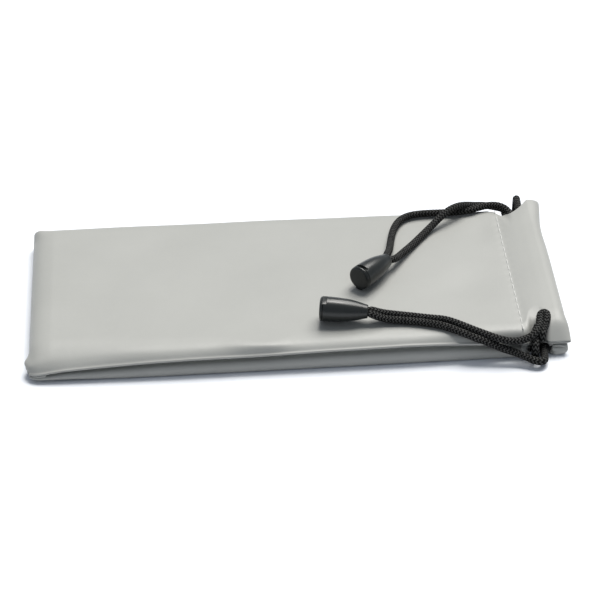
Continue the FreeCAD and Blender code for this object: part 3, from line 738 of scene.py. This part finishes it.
def make_panels(finish):
    """The two leather panels, each with its rolled edges, seam allowance and hem."""
    made = {}
    for name, upper in (("front_panel_leather", True), ("back_panel_leather", False)):
        grid = panel_points(upper)
        piece = thick_sheet(name, grid, LEATHER)
        piece.data.materials.append(finish)
        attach(piece, "root")
        made[upper] = piece
    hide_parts("front_panel")
    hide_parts("back_panel")
    return made[True], made[False]


def make_stitches(name, node, centres, directions, normals, finish):
    """A row of stitches: each dips into the leather at both ends. Sizes in millimetres."""
    row = bmesh.new()
    steps = np.linspace(-1.0, 1.0, STITCH_STEPS)
    lift = STITCH_RISE * (1.0 - steps ** 4) - STITCH_DIP * steps ** 8
    radii = STITCH_RADIUS * (1.0 - 0.35 * steps ** 8)[:, None] * np.ones((1, STITCH_RING))
    for centre, direction, normal in zip(centres, directions, normals):
        line = centre + np.outer(steps * STITCH_HALF, direction) + np.outer(lift, normal)
        part = tube("stitch", line, radii, STITCH_RING)
        row.from_mesh(part)
        bpy.data.meshes.remove(part)
    mesh = bpy.data.meshes.new(name)
    row.to_mesh(mesh)
    row.free()
    mesh.shade_smooth()
    piece = link(name, mesh)
    piece.data.materials.append(finish)
    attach(piece, "root")
    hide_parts(node)


def make_thread(finish):
    """The five rows of thread, laid on the leather surfaces."""
    make_hem_thread(finish)
    make_side_thread(finish)
    make_end_thread(finish)


def make_hem_thread(finish):
    """One row across each hem, on the outside of the pouch."""
    ys = np.arange(-38.0, 36.5, STITCH_PITCH)
    xs = np.full_like(ys, HEM_SEAM)
    top = top_height(xs, ys) + LEATHER / 2 + STITCH_RISE
    front = np.stack([xs, ys, top], axis=1)
    make_stitches("front_hem_stitches", "front_hem_thread", front, [ACROSS] * len(ys),
                  [UP] * len(ys), finish)
    under = np.stack([xs, ys, np.full_like(ys, UNDER_HEM)], axis=1)
    make_stitches("back_hem_stitches", "back_hem_thread", under, [ACROSS] * len(ys),
                  [-UP] * len(ys), finish)


def make_side_thread(finish):
    """The seams along both long edges, inside the pouch: each stitch shows above and below."""
    xs = np.arange(-82.0, 70.0, STITCH_PITCH)
    for side, edge, inward in (("near", NEAR_EDGE, 1), ("far", FAR_EDGE, -1)):
        line = np.stack([xs, eased(xs, edge) + inward * SEAM_INSET, eased(xs, SEAM_RISE)], axis=1)
        both = np.concatenate([line + UP * SEAM_PROUD, line - UP * SEAM_PROUD])
        sides = [UP] * len(xs) + [-UP] * len(xs)
        make_stitches(side + "_seam_stitches", side + "_seam_thread", both,
                      [ALONG] * len(both), sides, finish)


def make_end_thread(finish):
    """The seam of the closed end."""
    ys = np.arange(-34.0, 35.0, STITCH_PITCH)
    height = SEAM_RISE[0][1] + END_SEAM_LIFT
    line = np.stack([np.full_like(ys, END_SEAM), ys, np.full_like(ys, height)], axis=1)
    make_stitches("end_seam_stitches", "end_seam_thread", line + UP * END_SEAM_PROUD,
                  [ACROSS] * len(ys), [UP] * len(ys), finish)


def lathe(name, profile, matrix, segments=96):
    """A closed turned solid about X from (along, radius) points in millimetres."""
    shape = bmesh.new()
    rings = []
    for along, radius in profile:
        if radius < 1e-6:
            rings.append([shape.verts.new((along, 0, 0))])
            continue
        angles = [2 * math.pi * k / segments for k in range(segments)]
        rings.append([shape.verts.new((along, radius * math.cos(a), radius * math.sin(a)))
                      for a in angles])
    closed = rings + ([rings[0]] if len(rings[0]) > 1 else [])
    for one, two in zip(closed, closed[1:]):
        for k in range(segments):
            after = (k + 1) % segments
            if len(one) == 1:
                shape.faces.new((one[0], two[after], two[k]))
            elif len(two) == 1:
                shape.faces.new((one[k], one[after], two[0]))
            else:
                shape.faces.new((one[k], one[after], two[after], two[k]))
    bmesh.ops.recalc_face_normals(shape, faces=shape.faces)
    mesh = bpy.data.meshes.new(name)
    shape.to_mesh(mesh)
    shape.free()
    piece = link(name, mesh)
    piece.data.transform(matrix)
    return piece


def block(low, high, matrix):
    """A box between two corners, as a tool for a boolean."""
    shape = bmesh.new()
    bmesh.ops.create_cube(shape, size=1.0)
    middle = (Vector(low) + Vector(high)) / 2
    scale = Vector(high) - Vector(low)
    for vertex in shape.verts:
        vertex.co = Vector(vertex.co[k] * scale[k] + middle[k] for k in range(3))
    mesh = bpy.data.meshes.new("tool")
    shape.to_mesh(mesh)
    shape.free()
    tool = link("tool", mesh)
    tool.data.transform(matrix)
    return tool


def carve(piece, tools, bevel):
    """Adds or takes away each tool, then rounds the sharp edges a little."""
    for kind, tool in tools:
        boolean = piece.modifiers.new("boolean", "BOOLEAN")
        boolean.operation = kind
        boolean.object = tool
        boolean.solver = "EXACT"
    rounding = piece.modifiers.new("rounding", "BEVEL")
    rounding.width = bevel
    rounding.segments = 2
    rounding.limit_method = "ANGLE"
    rounding.angle_limit = math.radians(40)
    bpy.context.view_layer.update()
    graph = bpy.context.evaluated_depsgraph_get()
    mesh = bpy.data.meshes.new_from_object(piece.evaluated_get(graph))
    piece.modifiers.clear()
    old = piece.data
    piece.data = mesh
    bpy.data.meshes.remove(old)
    for _, tool in tools:
        bpy.data.objects.remove(tool)
    mesh.shade_smooth()
    mesh.set_sharp_from_angle(angle=math.radians(38))


def make_shell(side, place):
    """The bell's turned shell, with its catch notch and hinge strap."""
    flank = [tuple(p) for p in spline(BELL_FLANK)]
    shell = lathe(side + "_bell_shell", BELL_RIM + flank + BELL_BORE, place)
    notch = block(*CATCH_NOTCH, place)
    strap = block(*STRAP, place)
    carve(shell, [("DIFFERENCE", notch), ("UNION", strap)], BELL_ROUNDING * MM)
    return shell


def make_cap(side, place):
    """The bell's lid: a turned cap with a recess for the strap and a catch tongue."""
    edge = [tuple(p) for p in spline(CAP_ROUND, SHORT_SPAN_POINTS)]
    cap = lathe(side + "_bell_cap", CAP_FACE + edge + CAP_PLUG, place)
    recess = block(*STRAP_RECESS, place)
    tongue = block(*TONGUE, place)
    carve(cap, [("DIFFERENCE", recess), ("UNION", tongue)], CAP_ROUNDING * MM)
    return cap


def make_bell(side, finish):
    """A bell: its shell and its lid, each on its own body."""
    place = bell_matrix(side)
    shell = make_shell(side, place)
    cap = make_cap(side, place)
    for piece, body, node in ((shell, side + "_bell", side + "_bell"),
                              (cap, side + "_lid", side + "_bell_lid")):
        piece.data.materials.clear()
        piece.data.materials.append(finish)
        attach(piece, body)
        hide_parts(node)
    return shell, cap


def make_knot(side, finish):
    """The overhand knot inside the bell, from which both tails leave through the neck."""
    turns = np.linspace(0.0, 2 * math.pi, KNOT_POINTS)
    points = [(KNOT_MIDDLE + KNOT_REACH * math.cos(3 * t),
               KNOT_RADIUS * (math.sin(t) + 0.9 * math.sin(2 * t)),
               KNOT_RADIUS * (math.cos(t) - 0.9 * math.cos(2 * t))) for t in turns]
    line, even = route_line([(11.8, 0.0, 0.0)] + points + [(12.2, 0.0, 0.0)], RING_STEP)
    u = np.arange(RING_POINTS) / RING_POINTS
    radii = KNOT_CORD * (0.92 + 0.10 * braid_height(u[None, :], even[:, None]))
    mesh = tube(side + "_knot_braid", line, radii, RING_POINTS, even / BRAID_PITCH)
    knot = link(side + "_knot_braid", mesh)
    knot.data.transform(bell_matrix(side) @ Matrix.Scale(1 / MM, 4))
    knot.data.materials.append(finish)
    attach(knot, side + "_drawcord")
    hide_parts(side + "_drawcord_knot")
    return knot


def make_cords(finish):
    """The two drawcords: two tails and the loop through the hems for each."""
    for side in ("near", "far"):
        body = side + "_drawcord"
        for end, across in (("front", STEM_HALF), ("back", -STEM_HALF)):
            name = f"{side}_drawcord_{end}_tail"
            stem = [bell_point(side, along, across * share) for along, share in STEM]
            piece, line, length = make_cord(name + "_braid", stem + TAILS[name], finish, True)
            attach(piece, body)
            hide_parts(name)
        name = body + "_loop"
        piece, line, length = make_cord(name + "_braid", LOOPS[name], finish, False)
        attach(piece, body)
        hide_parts(name)


# ---------------------------------------------------------------- stage

def make_stage():
    """A pale floor, a soft key light from above and behind, a small edge light, and the world."""
    mesh = bpy.data.meshes.new("floor")
    reach = FLOOR_REACH
    mesh.from_pydata([(-reach, -reach, 0), (reach, -reach, 0), (reach, reach, 0),
                      (-reach, reach, 0)], [], [(0, 1, 2, 3)])
    floor = link("floor", mesh)
    material, _, shader = new_material("white_floor", 0.9, 0.1)
    shader.inputs["Base Color"].default_value = FLOOR_COLOUR
    floor.data.materials.append(material)
    world = bpy.data.worlds.new("studio")
    world.use_nodes = True
    background = world.node_tree.nodes["Background"]
    background.inputs["Color"].default_value = WORLD_COLOUR
    background.inputs["Strength"].default_value = WORLD_STRENGTH
    bpy.context.scene.world = world
    for name, strength, spread, direction in SUNS:
        make_sun(name, strength, spread, direction)
    bpy.context.scene.view_settings.view_transform = "Standard"


def make_sun(name, strength, spread, direction):
    """A distant light: how wide it looks in degrees, and which way it stands."""
    light = bpy.data.lights.new(name, "SUN")
    light.energy = strength
    light.color = SUN_COLOUR
    light.angle = math.radians(spread)
    holder = bpy.data.objects.new(name, light)
    holder.rotation_euler = Vector(direction).to_track_quat("Z", "Y").to_euler()
    bpy.context.scene.collection.objects.link(holder)


def make_camera():
    """The camera: a long lens from above the near side, tilted a little."""
    azimuth, elevation, roll = (math.radians(a) for a in (AZIMUTH, ELEVATION, ROLL))
    back = Vector((math.sin(azimuth) * math.cos(elevation),
                   -math.cos(azimuth) * math.cos(elevation), math.sin(elevation)))
    right = Vector((0, 0, 1)).cross(back).normalized()
    up = back.cross(right)
    across = right * math.cos(roll) + up * math.sin(roll)
    above = up * math.cos(roll) - right * math.sin(roll)
    data = bpy.data.cameras.new("camera")
    data.lens = LENS
    data.sensor_width = SENSOR
    data.clip_start = CLIP_START
    data.clip_end = CLIP_END
    camera = bpy.data.objects.new("camera", data)
    turn = Matrix((across, above, back)).transposed().to_4x4()
    camera.matrix_world = Matrix.Translation(Vector(TARGET) + back * DISTANCE) @ turn
    bpy.context.scene.collection.objects.link(camera)
    bpy.context.scene.camera = camera


make_camera()
make_stage()
leather = leather_material()
thread = thread_material()
braid = cord_material()
plastic = plastic_material()
bells = {side: make_bell(side, plastic) for side in BELLS}
knots = {side: make_knot(side, braid) for side in BELLS}
make_cords(braid)
front, back = make_panels(leather)
make_thread(thread)
